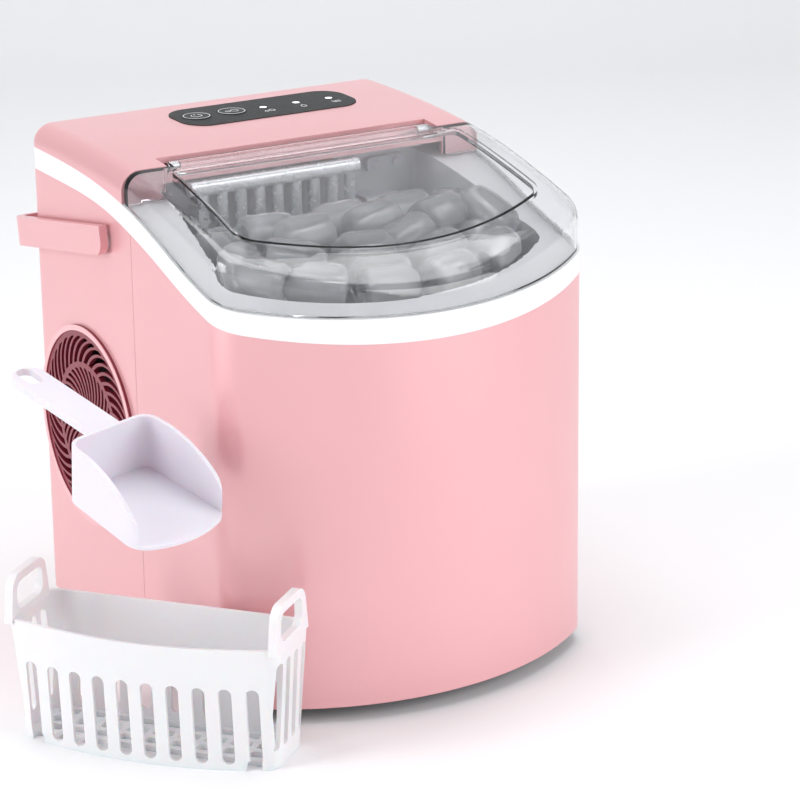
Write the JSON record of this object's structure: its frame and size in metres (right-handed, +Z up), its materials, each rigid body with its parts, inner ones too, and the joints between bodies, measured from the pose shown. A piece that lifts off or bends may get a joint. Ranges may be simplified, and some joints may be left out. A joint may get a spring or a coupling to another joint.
{
  "type": "countertop ice maker",
  "caption": "Countertop bullet ice maker with clear hinged lid, bowed front shell, side air vents, swing carrying handle, and a loose ice basket and scoop.",
  "frame": {"origin": "on the table under the middle of the cabinet, at the plane of the four feet", "axes": "+Z up, +Y towards the rear of the machine, +X to the right as seen from the front"},
  "size_m": [0.3321, 0.3026, 0.2776],
  "materials": {
    "pink_shell": "satin",
    "white_gloss": "glossy",
    "white_plastic": "satin",
    "grey_plastic": "matte",
    "black_plastic": "matte",
    "black_rubber": "matte",
    "panel_black": "satin",
    "lamp_white": "glossy",
    "board_green": "satin",
    "clear_lid": "glossy",
    "steel": "brushed",
    "fin_aluminium": "satin",
    "compressor_black": "satin",
    "copper_tube": "satin",
    "brass_fitting": "satin",
    "hose_clear": "satin",
    "foam": "matte"
  },
  "bodies": {
    "base_body": {"front_shell": "pink_shell", "left_side_panel": "pink_shell", "right_side_panel": "pink_shell", "back_panel": "pink_shell", "rim_band": "white_gloss", "base_tray": "grey_plastic", "feet": "black_rubber", "back_screws": "steel", "cord_gland": "black_rubber", "top_cover": "pink_shell", "control_panel": "panel_black", "indicator_lights": "lamp_white", "control_board": "board_green", "lid_hinge_pins": "steel", "ice_bin": "white_gloss", "bin_insulation": "foam", "evaporator": "steel", "tray_brackets": "white_plastic", "tray_motor": "white_plastic", "ice_level_sensor": "white_plastic", "water_pump": "grey_plastic", "water_hoses": "hose_clear", "drain_hose": "hose_clear", "compressor_mounts": "black_rubber", "compressor": "compressor_black", "condenser": "fin_aluminium", "fan_frame": "black_plastic", "fan_motor": "black_plastic", "hot_gas_valve": "brass_fitting", "refrigerant_pipes": "copper_tube", "filter_drier": "copper_tube", "power_board": "board_green", "left_vent": "pink_shell", "right_vent": "pink_shell", "handle_pivots": "steel"},
    "lid": {"lid": "clear_lid"},
    "button_power": {"button_power": "panel_black"},
    "button_select": {"button_select": "panel_black"},
    "water_tray": {"water_tray": "white_plastic"},
    "ice_shovel": {"ice_shovel": "white_plastic"},
    "fan_rotor": {"fan_rotor": "black_plastic"},
    "drain_plug": {"drain_plug": "black_rubber"},
    "carry_handle": {"carry_handle": "pink_shell"},
    "ice_basket": {"ice_basket": "white_plastic"},
    "ice_scoop": {"ice_scoop": "white_plastic"}
  },
  "joints": [
    {"name": "lid_hinge", "type": "hinge", "parent": "base_body", "child": "lid", "pos_m": [0, 0.021, 0.2678], "axis": [-1, 0, 0], "range_deg": [0, 80]},
    {"name": "handle_swing", "type": "hinge", "parent": "base_body", "child": "carry_handle", "pos_m": [0, 0.037, 0.2314], "axis": [1, 0, 0], "range_deg": [0, 100]},
    {"name": "power_press", "type": "slide", "parent": "base_body", "child": "button_power", "axis": [0, 0, -1], "range_m": [0, 0.0006], "stiffness_N_per_m": 400},
    {"name": "select_press", "type": "slide", "parent": "base_body", "child": "button_select", "axis": [0, 0, -1], "range_m": [0, 0.0006], "stiffness_N_per_m": 400},
    {"name": "tray_tilt", "type": "hinge", "parent": "base_body", "child": "water_tray", "pos_m": [0, 0.014, 0.224], "axis": [1, 0, 0], "range_deg": [0, 70]},
    {"name": "shovel_push", "type": "hinge", "parent": "base_body", "child": "ice_shovel", "pos_m": [0, -0.006, 0.203], "axis": [-1, 0, 0], "range_deg": [0, 42]},
    {"name": "fan_spin", "type": "hinge", "parent": "base_body", "child": "fan_rotor", "pos_m": [-0.095, 0.083, 0.112], "axis": [1, 0, 0], "continuous": true},
    {"name": "drain_plug_pull", "type": "slide", "parent": "base_body", "child": "drain_plug", "axis": [1, 0, 0], "range_m": [0, 0.03]},
    {"name": "basket_lift", "type": "slide", "parent": "base_body", "child": "ice_basket", "axis": [0, 0, 1], "range_m": [0, 0.045]},
    {"name": "scoop_lift", "type": "slide", "parent": "base_body", "child": "ice_scoop", "axis": [0, 0, 1], "range_m": [0, 0.06]}
  ],
  "couplings": [
    {"joint": "shovel_push", "follows": "tray_tilt", "ratio": 0.6}
  ]
}
